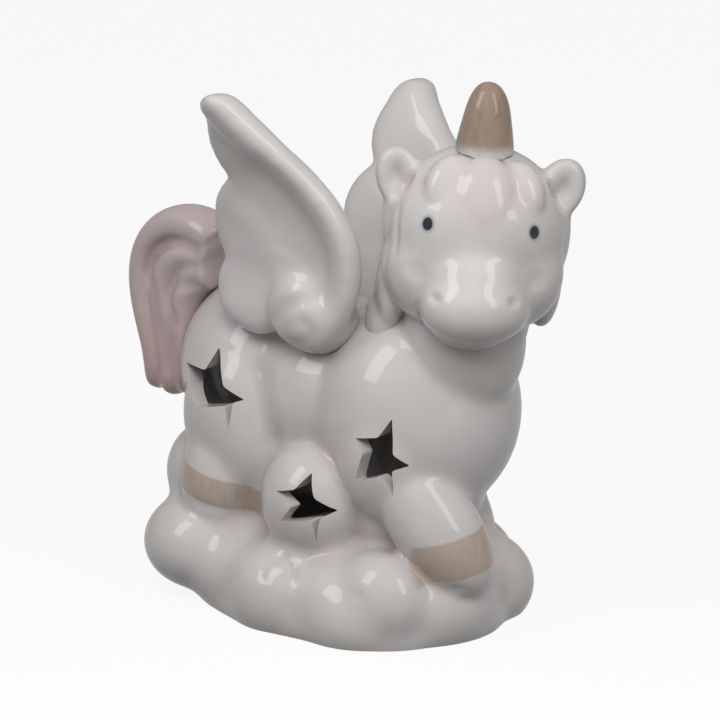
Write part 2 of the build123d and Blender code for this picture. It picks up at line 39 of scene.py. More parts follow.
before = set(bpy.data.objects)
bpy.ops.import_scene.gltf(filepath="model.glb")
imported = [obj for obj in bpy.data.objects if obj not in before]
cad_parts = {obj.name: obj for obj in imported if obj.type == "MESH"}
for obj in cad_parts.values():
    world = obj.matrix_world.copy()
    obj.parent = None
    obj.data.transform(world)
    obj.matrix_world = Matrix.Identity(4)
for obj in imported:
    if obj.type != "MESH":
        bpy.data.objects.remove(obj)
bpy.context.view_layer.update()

MM = 0.001

# The figure's own frame
HOME = Matrix()

# The figure's middle line across the cloud, and the head's frame
STAND_Y = -1.4
HEAD_PLACE = (-2.2, -39.8, 95.0)
HEAD_TURN = 52.0
HEAD_LEAN = 4.5

# Faces round and up one clay form, the points of a smooth line between two given ones, and how
# far out, in metres, a line starts that is laid on a surface
BALL_SEGMENTS = 40
BALL_RINGS = 20
FLOW_STEPS = 10
OUTSIDE = 0.2

# Rows of clay forms: place across, along and up, three half sizes, tilts about X and Y in degrees
CLOUD_SIDE_FORMS = [
    (-22.5, -17.5, 7.0, 13.8, 17.0, 13.0, 0, 0),
    (-24.0, -0.4, 6.8, 14.8, 17.0, 14.0, 0, 0),
    (-17.0, 17.3, 8.8, 17.0, 17.0, 14.3, 0, 0),
    (-20.7, 30.5, 13.4, 15.6, 15.6, 12.8, 0, 0),
    (-9.6, 35.6, 28.9, 14.0, 12.5, 13.6, 0, 0),
]
CLOUD_FORMS = [
    (0, -3.5, 10.9, 29.6, 43.0, 16.3, 0, 0),
    (-8.6, -31.8, 7.2, 17.0, 17.0, 13.8, 0, 0),
    (10.4, -31.0, 6.8, 16.0, 16.4, 13.4, 0, 0),
    (-17.0, -20.5, 2.0, 17.4, 21.4, 12.0, 0, 0),
    (-5.0, -5.0, 3.0, 32.0, 43.5, 14.0, 0, 0),
]
PUFF_FORMS = [(-20.0, -5.6, 30.9, 13.4, 14.0, 14.4, 0, 0)]
TORSO_FORMS = [
    (0, -21.4, 52.1, 26.0, 26.0, 27.9, 0, 0),
    (0, 1.5, 54.1, 24.4, 28.5, 23.0, 0, 0),
    (0, 22.4, 56.6, 25.0, 25.5, 25.0, 0, 0),
    (0, -1.4, 34.0, 23.9, 38.0, 26.2, 0, 0),
]
LIMB_SIDE_FORMS = [
    (-15.6, 20.5, 46.7, 13.5, 17.1, 21.3, 0, 0),
    (-14.0, -24.2, 44.3, 13.0, 13.8, 17.2, 0, 0),
    (-20.8, 24.7, 31.2, 9.6, 10.0, 16.4, 6, 0),
]
LIMB_FORMS = [
    (-13.4, -36.6, 28.6, 10.6, 10.6, 20.5, -36, -12),
    (11.4, -25.6, 22.1, 8.8, 9.5, 16.4, -30, 10),
]
RIDGE_FORMS = [
    (-23.5, -28.0, 10.5, 10.0, 13.0, 12.0, 0, 0),
    (-25.0, -20.0, 5.0, 12.0, 16.0, 12.0, 0, 0),
]
NECK_FORMS = [(-0.5, -36.0, 73.5, 16.0, 14.0, 20.0, -14, 0)]

SKULL_FORMS = [
    (0, 0, 4.3, 21.5, 20.2, 20.0, 0, 0),
    (-8.6, -3.4, -5.2, 12.9, 13.3, 13.8, 0, 0),
    (8.6, -3.4, -5.2, 12.9, 13.3, 13.8, 0, 0),
    (0, -14.6, -11.6, 13.3, 12.9, 9.7, 0, 0),
    (0, -9.6, -17.2, 9.8, 10.4, 6.2, 0, 0),
    (0, -11.2, -5.5, 12.4, 12.6, 9.4, 0, 0),
    (0, 6.9, -17.2, 15.6, 15.6, 22.0, 0, 0),
]
FORELOCK_FORMS = [
    (-7.8, -10.8, 15.6, 5.6, 3.8, 7.6, -26, 22),
    (0.5, -13.8, 13.6, 7.6, 4.4, 10.0, -26, 0),
    (8.8, -10.8, 15.2, 5.6, 3.8, 7.6, -26, -22),
]
MANE_FORMS = [
    (-18.0, 2.6, 4.3, 4.6, 9.0, 12.9, 0, 0),
    (-18.5, 2.6, -10.3, 4.4, 7.7, 12.0, 0, 0),
    (-20.0, 5.0, -20.0, 4.4, 6.0, 9.0, 0, 0),
    (18.0, 2.6, 3.4, 4.6, 9.0, 12.0, 0, 0),
    (17.6, 3.4, -8.6, 4.2, 7.7, 10.8, 0, 0),
    (0, 18.0, 4.3, 10.3, 7.7, 18.0, 0, 0),
    (0, 18.9, -12.0, 9.5, 7.3, 15.5, 0, 0),
]
EAR_FORMS = [(-18.9, 0, 14.8, 5.8, 4.4, 7.8, 0, -20)]

# Star windows as they were cut by hand: corners back (+Y) and up, a point and a waist in turn
WINDOWS = [
    [(22.1, 65.3), (17.6, 56.7), (11.7, 54.0), (14.3, 53.1), (15.1, 46.2),
     (16.4, 52.1), (25.3, 50.5), (30.7, 54.7), (34.5, 59.3), (24.9, 59.5)],
    [(-11.4, 40.0), (-13.4, 34.4), (-17.7, 31.2), (-14.9, 29.6), (-12.7, 22.6),
     (-13.1, 29.0), (-4.8, 27.5), (-8.3, 31.7), (-3.4, 34.9), (-8.7, 36.0)],
    [(-31.7, 55.6), (-32.4, 47.0), (-35.5, 44.3), (-32.3, 43.1), (-32.4, 36.5),
     (-29.0, 41.4), (-23.0, 39.5), (-25.4, 46.7), (-22.8, 50.0), (-28.7, 50.8)],
]

# How far from the middle plane the star prisms start and end, and how far, in how many steps and
# from what turn in degrees their points are rounded
STAR_IN = 12.0
STAR_OUT = 48.0
STAR_ROUNDING = 0.5
STAR_STEPS = 3
STAR_EDGE = 30

# Underside: the chamber's floor, the recess in the foot and the radius of the lamp's hole
FLOOR_TOP = 7.0
FOOT_HEIGHT = 3.2
RECESS_HALF_X = 25.0
RECESS_HALF_Y = 38.0
LAMP_HOLE = 18.2

# Cutters: half sizes and foot of the slab under the chamber and of the one under the table, foot
# of the round ones, and how far the lamp's hole runs on into the chamber
CHAMBER_SLAB = (60, 80, -20)
TABLE_SLAB = (120, 160, -60)
SLAB_SIDES = 4
ROUND_SIDES = 96
CUTTER_FOOT = -5
CUTTER_RISE = 4

# Rounds of softening of each skin, and of the relief when it is on
CLOUD_ROUNDS = 45
ANIMAL_ROUNDS = 7
BODY_ROUNDS = 5
CHAMBER_ROUNDS = 3
SKULL_ROUNDS = 80
HAIR_ROUNDS = 8
HEAD_ROUNDS = 12
RELIEF_ROUNDS = 2
WING_RELIEF_ROUNDS = 20
TAIL_RELIEF_ROUNDS = 8

# Copies of CAD shapes: how near two points lie that are one, then for each its rounds of softening
# and the swelling that makes up for them
MERGE = 0.01
HORN_SOFTENING = (8, 0.02)
WING_SOFTENING = (100, 0.9)
TAIL_SOFTENING = (36, 0.1)

# Size of one face on the horn and on the chamber, and the turn in degrees from which an edge of the
# body stays sharp
HORN_GRAIN = 0.5
CHAMBER_GRAIN = 1.6
SHARP_EDGE = 38

# Painted crease shade, where the glaze also pools: rounds of averaging that find a crease, on the
# horn too, a crease's full depth, and how much of its darker colour shows there
CREASE_SHADE_ROUNDS = 6
HORN_CREASE_SHADE_ROUNDS = 4
CREASE_SHADE_DEPTH = 0.5
CREASE_SHADE_SHARE = 0.6

BODY_NODES = ("cloud_base", "body_casting", "hind_leg_right", "hind_leg_left", "foreleg_right",
              "foreleg_left")

# Lines pressed into (-) or raised on (+) the body: points, width and height
BODY_STROKES = [
    ([(-37.5, -5.0, 12.0), (-37.0, -2.0, 15.0), (-34.5, -2.5, 18.0), (-31.5, -6.0, 18.5),
      (-33.0, -9.5, 15.5), (-35.5, -8.0, 12.8)], 2.0, -0.7),
    ([(-21.3, 9.4, 66.0), (-22.0, 9.0, 60.0), (-23.5, 6.5, 54.5), (-22.5, 5.6, 46.0),
      (-22.5, 8.5, 38.0)], 5.0, -0.6),
    ([(-33.4, -26.9, 14.9), (-29.6, -31.2, 11.8), (-26.5, -35.1, 7.3),
      (-24.5, -38.1, 2.3)], 2.4, -0.9),
    ([(-24.5, -38.5, 24.5), (-23.5, -40.5, 19.0), (-20.0, -44.5, 15.0), (-14.0, -47.5, 15.5),
      (-7.0, -47.0, 15.0)], 1.8, -0.5),
    ([(-29.6, 28.0, 27.2), (-29.0, 20.5, 25.2), (-23.0, 15.0, 23.4)], 1.8, -0.4),
]

# Painted bands of the legs: middle and reach of the patch, the direction that the band's level is
# measured in, and its lowest and highest level
LEG_BANDS = [
    ((-25.0, 21.0, 29.0), (12.0, 13.5, 12.0), (0, -0.33, 1), 18.9, 26.6),
    ((25.0, 21.0, 29.0), (12.0, 13.5, 12.0), (0, -0.33, 1), 18.9, 26.6),
    ((-11.0, -46.0, 22.0), (17.0, 13.0, 13.0), (-0.154, 0.197, 1), 10.8, 21.0),
]
# How fast a band fills in from its edges and from the edge of its patch, and how far it wavers
BAND_FILL = 0.5
PATCH_FILL = 3
BAND_WAVER = 0.25

# Head, in its own frame
EAR_CUP = (-19.6, -4.0, 15.2, 5.0, 5.6, 6.8)
EAR_CUP_DEPTH = 3.2
# Eyes across and up, the rings that their halo and paint fade out in, in radii, and their oval
EYES = [(-12.2, 6.9), (12.4, 6.8)]
HALO_RING = (1.0, 1.75)
HALO_SHARE = 0.75
EYE_RING = (0.86, 1.12)
EYE_OVAL = (1, 1, 0.88)
HEAD_DABS = [
    ((-9.6, -22.6, -9.0), (2.6, 3.0, 1.8), -0.7),
    ((9.0, -23.0, -8.4), (2.6, 3.0, 1.8), -0.7),
    ((-13.6, -14.5, -4.5), (4.5, 4.0, 3.5), -0.5),
    ((14.0, -14.5, -4.5), (4.5, 4.0, 3.5), -0.5),
]
HEAD_STROKES = [
    ([(-12.5, -12.0, -17.0), (-8.5, -16.5, -19.4), (-2.0, -19.5, -20.6), (4.7, -18.6, -20.4),
      (10.0, -15.0, -18.6), (13.0, -10.0, -16.8)], 2.6, -0.6),
    ([(-8.0, -17.0, 22.0), (-6.8, -19.0, 17.0), (-4.6, -21.0, 13.0),
      (-2.6, -21.6, 10.0)], 1.5, -0.6),
    ([(3.7, -16.7, 21.8), (4.3, -19.5, 17.5), (4.2, -21.0, 13.5)], 1.5, -0.6),
    ([(-14.0, -15.0, 19.0), (-12.5, -17.8, 14.0), (-9.0, -19.8, 10.8),
      (-5.5, -21.0, 11.8)], 1.5, -0.5),
    ([(4.2, -21.0, 11.0), (8.0, -20.4, 9.8), (12.0, -18.6, 12.5),
      (14.0, -15.5, 17.5)], 1.5, -0.5),
    ([(-18.6, -7.5, 12.0), (-18.6, -9.0, 4.0), (-18.0, -9.5, -3.0),
      (-17.6, -8.0, -10.0)], 1.8, -0.5),
]
HAIR_LINES = [row[0] for row in HEAD_STROKES[1:5]]
HAIR_LINE_REACH = 1.3
HAIR_LINE_SHARE = 0.8
HAIR_PATCHES = [
    ((0.0, -17.0, 16.5), (17.0, 13.0, 9.0)),
    ((-19.0, 1.0, 0.0), (6.0, 10.0, 22.0)),
    ((19.0, 1.0, 0.0), (5.0, 9.0, 20.0)),
]
BLUSH_FILL = 1.5

# Horn: how much narrower its tip is than CAD has it, the share of its height that gives each end
# of its axis, and the heights over which its tan and the streaks in it come in
HORN_TAPER = 0.26
HORN_END = 0.2
HORN_FADE = (117.5, 121.5)
HORN_STREAK_FADE = (118, 123)
HORN_STREAK_SHARE = 0.4

# Wing relief on the outer face of the right wing, back (+Y) and up: points, width, height, and the
# share of its length that fades out at each end
WING_STROKES = [
    ([(8.0, 116.7), (2.4, 109.7), (-4.5, 103.5), (-9.2, 96.6), (-10.1, 89.3),
      (-5.8, 83.4)], 15.0, -1.6, 0.2),
    ([(10.7, 126.5), (4.4, 123.3), (-4.3, 117.4), (-12.5, 110.8), (-17.7, 103.2),
      (-20.4, 95.0), (-19.8, 86.4), (-16.3, 79.4)], 8.0, 0.4, 0.12),
    ([(21.3, 80.5), (16.8, 76.5), (9.4, 75.5), (1.5, 77.1)], 8.0, 0.6, 0.25),
    ([(14.5, 107.0), (9.2, 104.5), (4.7, 101.0), (1.4, 95.9)], 5.0, -0.25, 0.35),
    ([(21.3, 89.6), (14.3, 87.9), (6.9, 86.3), (0.7, 84.1)], 5.0, -0.3, 0.35),
    ([(-13.0, 84.0), (-9.7, 82.2), (-4.1, 80.0), (-0.4, 76.3), (-0.3, 72.4)], 2.8, -0.8, 0.25),
    ([(-0.3, 72.4), (-4.7, 70.6), (-9.3, 71.9), (-10.6, 75.1), (-8.4, 76.9),
      (-5.3, 75.5)], 2.2, -0.5, 0.25),
]
LEFT_WING_FORWARD = 2.5
LEFT_WING_DROP = 3.0

# Grooves between the tail's strands, back (+Y) and up
TAIL_GROOVES = [
    [(36.3, 85.2), (41.1, 86.2), (47.3, 86.7), (54.0, 84.3), (56.8, 79.4), (55.3, 74.8),
     (53.5, 65.5), (51.0, 56.0), (50.5, 50.0)],
    [(37.9, 77.5), (41.4, 76.8), (46.8, 76.2), (49.3, 72.8), (48.4, 68.1), (46.3, 63.5)],
]
# Width, height and fading ends of a groove, and how the pink goes from the tail's foot to its top
TAIL_GROOVE = (3.0, -0.8, 0.1)
TAIL_FADE = (52, 86, 1.0, 0.55)

# Relief of the finishes: the ripple of fired glaze with its patches per millimetre, the horn's
# ripple, and the grain of a moulding with its patches
RIPPLE = 0.03
RIPPLE_SCALE = 0.16
HORN_RIPPLE = 0.02
MOULD_RELIEF = 0.01
MOULD_GRAIN = 6.0

# Tones: where noise turns from one to the other, the slow clouding of the glaze, and how dark, how
# smooth and how rough a moulding gets
NOISE_TURN = (0.3, 0.7)
CLOUDING = 0.06
CLOUDING_TURN = (0.35, 0.65)
MOULD_DARKER = 0.8
MOULD_WEAR = (0.85, 1.1)

# Brush marks: patches per millimetre, detail and stretch
BAND_EDGE_MARKS = (0.45, 2.0, (1, 1, 0.5))
BAND_MARKS = (0.5, 2.0, (1, 1, 0.25))
BAND_COVER = (0.3, 0.75, 0.8, 1.0)
HORN_EDGE_MARKS = (0.3, 2.0)
HORN_EDGE_WAVER = 2
HORN_MARKS = (0.5, 2.0, (1, 1, 0.12))
HORN_MARKS_TURN = (0.42, 0.72)
TAIL_MARKS = (0.1, 1.0)
TAIL_WAVER = 8
HAIR_LINE_TURN = (0.1, 1.0)

# The lamp's finishes: name, nodes, colour, roughness and metal
LAMP_FINISHES = [
    ("white_lamp_plastic", ("lamp_base", "lamp_cap", "battery_cover"),
     (0.74, 0.74, 0.72), 0.4, 0.0),
    ("grey_foam_tape", ("adhesive_ring",), (0.30, 0.30, 0.31), 0.9, 0.0),
    ("cell_steel", ("coin_cell",), (0.62, 0.62, 0.60), 0.3, 1.0),
    ("contact_steel", ("contact_positive", "contact_negative"), (0.66, 0.64, 0.58), 0.3, 1.0),
    ("green_board", ("circuit_board",), (0.05, 0.20, 0.09), 0.45, 0.0),
    ("zinc_screw", ("board_screws",), (0.60, 0.61, 0.62), 0.35, 1.0),
    ("warm_white_led", ("led_lens",), (0.80, 0.72, 0.42), 0.15, 0.0),
    ("tinned_lead", ("led_leads",), (0.68, 0.68, 0.66), 0.35, 1.0),
    ("resistor_body", ("resistor",), (0.60, 0.46, 0.30), 0.5, 0.0),
    ("switch_case", ("switch_body",), (0.55, 0.56, 0.57), 0.4, 0.6),
    ("black_knob", ("switch_slider",), (0.03, 0.03, 0.03), 0.45, 0.0),
]

# Stage: what the camera looks at, the floor's tone as it throws light back and as it is seen, its
# glow to the camera and the share of it that the glaze mirrors, and the world
TARGET = Vector((0, STAND_Y, 58)) * MM
FLOOR_BOUNCE = (0.10, 0.097, 0.094)
FLOOR_SEEN = (0.90, 0.90, 0.90)
FLOOR_GLOW = 0.9
FLOOR_IN_GLAZE = 0.4
FLOOR_SIZE = 8
FLOOR_DROP = 0.0001
WORLD_LEVEL = 0.36
WORLD_TINT = (1, 0.99, 0.98, 1)

# Camera: azimuth and elevation, distance, lens and sensor in millimetres, shift in frame widths
CAMERA_ANGLES = (-52, 13.5)
CAMERA_AWAY = 0.6
CAMERA_LENS = 120
CAMERA_SENSOR = 36
CAMERA_SHIFT = (8 / 720, 12 / 720)
CAMERA_CLIP = 0.01

# Lights: name, distance, azimuth and elevation, watts, size in metres and tint
LIGHTS = [
    ("key", 0.36, (-52, 40), 0.60, (0.16, 0.16), (1.0, 0.995, 0.985)),
    ("box_left", 1.1, (-112, 44), 2.0, (0.35, 0.7), (1.0, 1.0, 1.0)),
    ("box_right", 1.2, (-8, 36), 1.8, (0.3, 0.8), (1.0, 1.0, 1.0)),
]


def alone(piece):
    """Selects one object and nothing else."""
    bpy.ops.object.select_all(action="DESELECT")
    piece.select_set(True)
    bpy.context.view_layer.objects.active = piece


def finish_modifier(piece, kind, **settings):
    """Adds a modifier and applies it."""
    alone(piece)
    modifier = piece.modifiers.new(kind.title(), kind)
    for setting, value in settings.items():
        setattr(modifier, setting, value)
    bpy.ops.object.modifier_apply(modifier=modifier.name)


def skinned(piece, grain):
    """Makes one closed skin of what overlaps, of faces about this large."""
    finish_modifier(piece, "REMESH", mode="VOXEL", voxel_size=grain * MM)


def softened(piece, rounds):
    """Softens creases and edges."""
    finish_modifier(piece, "SMOOTH", factor=0.5, iterations=rounds)


def ball(form, place):
    """One clay form: a ball drawn out to three half sizes, in a frame of its own."""
    x, y, z, half_x, half_y, half_z, tilt_x, tilt_y = form
    bpy.ops.object.select_all(action="DESELECT")
    bpy.ops.mesh.primitive_uv_sphere_add(segments=BALL_SEGMENTS, ring_count=BALL_RINGS, radius=1)
    made = bpy.context.object
    tilt = Euler((math.radians(tilt_x), math.radians(tilt_y), 0)).to_matrix().to_4x4()
    halves = Matrix.Diagonal((half_x * MM, half_y * MM, half_z * MM, 1))
    made.matrix_world = place @ Matrix.Translation(Vector((x, y, z)) * MM) @ tilt @ halves
    return made


def mirrored(forms):
    """The forms and their mirror images across the middle plane."""
    return forms + [(-x, y, z, hx, hy, hz, tx, -ty) for x, y, z, hx, hy, hz, tx, ty in forms]


def joined(name, pieces):
    """Joins meshes into one object, its place in its mesh."""
    bpy.ops.object.select_all(action="DESELECT")
    for piece in pieces:
        piece.select_set(True)
    bpy.context.view_layer.objects.active = pieces[0]
    bpy.ops.object.join()
    made = bpy.context.object
    bpy.ops.object.transform_apply(location=True, rotation=True, scale=True)
    made.name = name
    made.data.name = name
    return made


def clay(name, forms, place, grain, rounds):
    """Presses forms together into one skin, its creases softened."""
    made = joined(name, [ball(form, place) for form in forms])
    skinned(made, grain)
    softened(made, rounds)
    return made


def copied(name, node, grain, softening):
    """A CAD node's own shape as one soft skin, swelled by what softening takes off."""
    rounds, swell = softening
    made = bpy.data.objects.new(name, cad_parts[node].data.copy())
    bpy.context.scene.collection.objects.link(made)
    made.data.materials.clear()
    alone(made)
    bpy.ops.object.mode_set(mode="EDIT")
    bpy.ops.mesh.select_all(action="SELECT")
    bpy.ops.mesh.remove_doubles(threshold=MERGE * MM)
    bpy.ops.object.mode_set(mode="OBJECT")
    skinned(made, grain)
    softened(made, rounds)
    set_points(made, points_of(made) + normals_of(made) * swell)
    return made


def of_vertices(piece, what):
    """One row of three numbers for each point of the mesh."""
    flat = np.empty(3 * len(piece.data.vertices))
    piece.data.vertices.foreach_get(what, flat)
    return flat.reshape(-1, 3)


def points_of(piece):
    """The mesh's points in millimetres."""
    return of_vertices(piece, "co") / MM


def normals_of(piece):
    """The direction out of the surface at each point."""
    return of_vertices(piece, "normal")


def set_points(piece, points):
    """Moves the mesh's points."""
    piece.data.vertices.foreach_set("co", (points * MM).ravel())
    piece.data.update()


def flowing(points):
    """A smooth line through given points."""
    points = np.array(points, float)
    ends = np.vstack([2 * points[0] - points[1], points, 2 * points[-1] - points[-2]])
    line = []
    for before, start, end, after in zip(ends, ends[1:], ends[2:], ends[3:]):
        slope = end - before
        bend = 2 * before - 5 * start + 4 * end - after
        turn = 3 * start - before - 3 * end + after
        for t in np.arange(FLOW_STEPS) / FLOW_STEPS:
            line.append(0.5 * (2 * start + slope * t + bend * t**2 + turn * t**3))
    line.append(points[-1])
    return np.array(line)


def laid_on(piece, line, place, looking):
    """Lays a flat line on the surface, seen from the right, left or front of a frame."""
    mesh = piece.data
    tree = BVHTree.FromPolygons([v.co for v in mesh.vertices], [p.vertices for p in mesh.polygons])
    laid = []
    for a, b in line * MM:
        if looking == "front":
            start, along = Vector((a, -OUTSIDE, b)), Vector((0, 1, 0))
        else:
            side = -1 if looking == "right" else 1
            start, along = Vector((side * OUTSIDE, a, b)), Vector((-side, 0, 0))
        hit = tree.ray_cast(place @ start, place.to_3x3() @ along)[0]
        if hit is not None:
            laid.append(np.array(hit) / MM)
    return np.array(laid)


def nearness(points, line):
    """For each point, the distance to a line of points and how far along it the nearest one is."""
    distance = np.full(len(points), np.inf)
    along = np.zeros(len(points))
    for number, at in enumerate(line):
        here = np.linalg.norm(points - at, axis=1)
        closer = here < distance
        distance[closer] = here[closer]
        along[closer] = number / max(1, len(line) - 1)
    return distance, along


def tapered(along, ends):
    """Fades a stroke out towards its two ends."""
    fade = np.clip(np.minimum(along, 1 - along) / ends, 0, 1)
    return fade * fade * (3 - 2 * fade)


def stroke(piece, line, width, height, ends=0.25):
    """Raises (+) or presses (-) the surface along a line that lies on it."""
    points = points_of(piece)
    distance, along = nearness(points, line)
    bump = np.clip(1 - (distance / width) ** 2, 0, 1) ** 2
    set_points(piece, points + normals_of(piece) * (height * bump * tapered(along, ends))[:, None])


def crease_shade(piece, rounds=CREASE_SHADE_ROUNDS):
    """How deep each point lies in a crease, 0 to 1, kept with the mesh for the glaze's painted
    shade.
    """
    mesh = piece.data
    edges = np.empty(2 * len(mesh.edges), int)
    mesh.edges.foreach_get("vertices", edges)
    first, second = edges.reshape(-1, 2).T
    total_points = len(mesh.vertices)
    count = np.bincount(first, minlength=total_points) + np.bincount(second, minlength=total_points)
    points = points_of(piece)
    eased = points.copy()
    for _ in range(rounds):
        total = np.zeros_like(eased)
        np.add.at(total, first, eased[second])
        np.add.at(total, second, eased[first])
        eased = total / np.maximum(count, 1)[:, None]
    hollow = ((eased - points) * normals_of(piece)).sum(axis=1)
    keep(piece, "crease_shade", np.clip(hollow / CREASE_SHADE_DEPTH, 0, 1))


def keep(piece, name, values):
    """Keeps one number for each point with the mesh."""
    layer = piece.data.attributes.get(name) or piece.data.attributes.new(name, "FLOAT", "POINT")
    layer.data.foreach_set("value", np.asarray(values, np.float32))


def smooth_shaded(piece, degrees=180):
    """Shades the surface as round, apart from edges sharper than this."""
    alone(piece)
    if degrees < 180:
        bpy.ops.object.shade_smooth_by_angle(angle=math.radians(degrees))
    else:
        bpy.ops.object.shade_smooth()


def settle(piece, body, slot, *nodes):
    """Hides the CAD nodes that the piece stands for and lets it move with its body."""
    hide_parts(*nodes)
    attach(piece, body)


def head_frame():
    """The head's own frame, in which the face looks along -Y."""
    turn = Matrix.Rotation(math.radians(-HEAD_TURN), 4, "Z")
    lean = Matrix.Rotation(math.radians(HEAD_LEAN), 4, "Y")
    return Matrix.Translation(Vector(HEAD_PLACE) * MM) @ turn @ lean


def in_frame(points, place):
    """Points of another frame, in the figure's."""
    return np.array([list(place @ (Vector(p) * MM)) for p in points]) / MM


def dab(piece, place, centre, radii, height):
    """Raises (+) or presses (-) one soft round spot, given in a frame of its own."""
    points = points_of(piece)
    turned = np.array(place.inverted())
    local = points @ turned[:3, :3].T + turned[:3, 3] / MM
    far = np.linalg.norm((local - np.array(centre)) / np.array(radii), axis=1)
    bump = np.clip(1 - far**2, 0, 1) ** 2
    set_points(piece, points + normals_of(piece) * (height * bump)[:, None])


def cut(piece, cutter):
    """Takes a cutter away from a piece."""
    finish_modifier(piece, "BOOLEAN", object=cutter, operation="DIFFERENCE", solver="MANIFOLD")
    bpy.data.objects.remove(cutter)


def pillar(name, half_x, half_y, low, high, sides=ROUND_SIDES):
    """An upright cutter on the lamp's axis: round, oval or a slab."""
    bpy.ops.object.select_all(action="DESELECT")
    bpy.ops.mesh.primitive_cylinder_add(vertices=sides, radius=1, depth=1)
    made = bpy.context.object
    made.name = name
    made.location = (0, STAND_Y * MM, (low + high) / 2 * MM)
    made.scale = (half_x * MM, half_y * MM, (high - low) * MM)
    bpy.ops.object.transform_apply(location=True, rotation=True, scale=True)
    return made


def star_cutter(corners, side):
    """A star prism straight in through the wall of one side, its points a little rounded."""
    bpy.ops.object.select_all(action="DESELECT")
    bpy.ops.mesh.primitive_circle_add(vertices=len(corners), radius=1, fill_type="NGON")
    made = bpy.context.object
    for vertex, (back, up) in zip(made.data.vertices, corners):
        vertex.co = Vector((side * STAR_IN, back, up)) * MM
    bpy.ops.object.mode_set(mode="EDIT")
    bpy.ops.mesh.select_all(action="SELECT")
    along = Vector((side * (STAR_OUT - STAR_IN), 0, 0)) * MM
    bpy.ops.mesh.extrude_region_move(TRANSFORM_OT_translate={"value": along})
    bpy.ops.mesh.select_all(action="SELECT")
    bpy.ops.mesh.normals_make_consistent(inside=False)
    bpy.ops.object.mode_set(mode="OBJECT")
    finish_modifier(made, "BEVEL", width=STAR_ROUNDING * MM, segments=STAR_STEPS,
                    limit_method="ANGLE", angle_limit=math.radians(STAR_EDGE))
    return made


class Tone:
    """A value in a material that can be reckoned with like a number."""

    def __init__(self, look, socket):
        self.look = look
        self.socket = socket

    def __add__(self, other):
        return self.look.reckoned("ADD", self, other)

    def __sub__(self, other):
        return self.look.reckoned("SUBTRACT", self, other)

    def __rsub__(self, other):
        return self.look.reckoned("SUBTRACT", other, self)

    def __mul__(self, other):
        return self.look.reckoned("MULTIPLY", self, other)

    __radd__ = __add__
    __rmul__ = __mul__


class Look:
    """A finish: its material, its shader and the values that its pattern is made of."""

    def __init__(self, name, **constants):
        self.material = bpy.data.materials.new(name)
        self.material.use_nodes = True
        self.tree = self.material.node_tree
        self.shader = next(n for n in self.tree.nodes if n.type == "BSDF_PRINCIPLED")
        for words, value in constants.items():
            self.shader.inputs[words.replace("_", " ")].default_value = value

    def node(self, kind, settings=None, values=None, output=0):
        """Any node: its settings first, then its sockets' values or links."""
        made = self.tree.nodes.new(kind)
        for setting, value in (settings or {}).items():
            setattr(made, setting, value)
        for socket, value in (values or {}).items():
            if isinstance(value, Tone):
                self.tree.links.new(value.socket, made.inputs[socket])
            elif made.inputs[socket].type == "RGBA":
                made.inputs[socket].default_value = (*value[:3], 1)
            else:
                made.inputs[socket].default_value = value
        return Tone(self, made.outputs[output])

    def reckoned(self, operation, first, second):
        """A sum on two values, either of which may be a number."""
        return self.node("ShaderNodeMath", {"operation": operation}, {0: first, 1: second})

    def place(self):
        """Where a point is on the piece, in millimetres."""
        here = self.node("ShaderNodeTexCoord", output="Object")
        scaled = {0: here, "Scale": 1 / MM}
        return self.node("ShaderNodeVectorMath", {"operation": "SCALE"}, scaled)

    def kept(self, name):
        """A number that was kept with the mesh."""
        return self.node("ShaderNodeAttribute", {"attribute_name": name}, output="Fac")

    def eased(self, value, low, high, start=0.0, end=1.0):
        """Goes smoothly from start to end as the value goes from low to high."""
        values = {"Value": value, 1: low, 2: high, 3: start, 4: end}
        return self.node("ShaderNodeMapRange", {"interpolation_type": "SMOOTHSTEP"}, values)

    def noise(self, scale, detail=3.0, stretch=(1, 1, 1)):
        """Soft noise, whose scale is in patches per millimetre."""
        drawn = {0: self.place(), 1: stretch}
        at = self.node("ShaderNodeVectorMath", {"operation": "MULTIPLY"}, drawn)
        return self.node("ShaderNodeTexNoise", {}, {"Vector": at, "Scale": scale, "Detail": detail})

    def away(self, centre, stretch):
        """The distance from a place, in millimetres, along stretched axes."""
        shifted = {0: self.place(), 1: tuple(-c for c in centre)}
        there = self.node("ShaderNodeVectorMath", {"operation": "ADD"}, shifted)
        drawn = self.node("ShaderNodeVectorMath", {"operation": "MULTIPLY"}, {0: there, 1: stretch})
        return self.node("ShaderNodeVectorMath", {"operation": "LENGTH"}, {0: drawn}, "Value")

    def mixed(self, share, first, second):
        """One colour over another by a share."""
        values = {0: share, 6: first, 7: second}
        return self.node("ShaderNodeMix", {"data_type": "RGBA"}, values, output=2)

    def level(self):
        """How high a point is, in millimetres."""
        return self.node("ShaderNodeSeparateXYZ", {}, {0: self.place()}, "Z")

    def feed(self, socket, value):
        """Feeds a value to one of the shader's sockets."""
        self.tree.links.new(value.socket, self.shader.inputs[socket])

    def bumped(self, height, distance):
        """Feeds a height, in millimetres, to the surface's normal."""
        values = {"Height": height, "Distance": distance * MM, "Strength": 1.0}
        self.feed("Normal", self.node("ShaderNodeBump", {}, values))


def glaze(name, colours):
    """Fired porcelain under clear glaze, with painted shade darker and warmer in creases, where
    glaze pools.
    """
    look = Look(name, Roughness=0.42, Coat_Weight=1.0, Coat_Roughness=0.035, Coat_IOR=1.5, IOR=1.45)
    clouding = look.eased(look.noise(CLOUDING), *CLOUDING_TURN)
    body = look.mixed(clouding, colours.body, colours.body_warm)
    # Painted shade: the crease colour is laid in by how deep a point lies in a crease
    look.base = look.mixed(look.kept("crease_shade") * CREASE_SHADE_SHARE, body, colours.crease)
    return look


def glazed(look, ripple=RIPPLE):
    """Finishes a glaze: its colour, and the slow ripple that fired glaze keeps."""
    look.feed("Base Color", look.base)
    look.bumped(look.noise(RIPPLE_SCALE, 1.0), ripple)
    return look.material


def painted(look, share, colour, strength=1.0):
    """Lays a paint under the glaze by a share."""
    look.base = look.mixed(share * strength, look.base, colour)


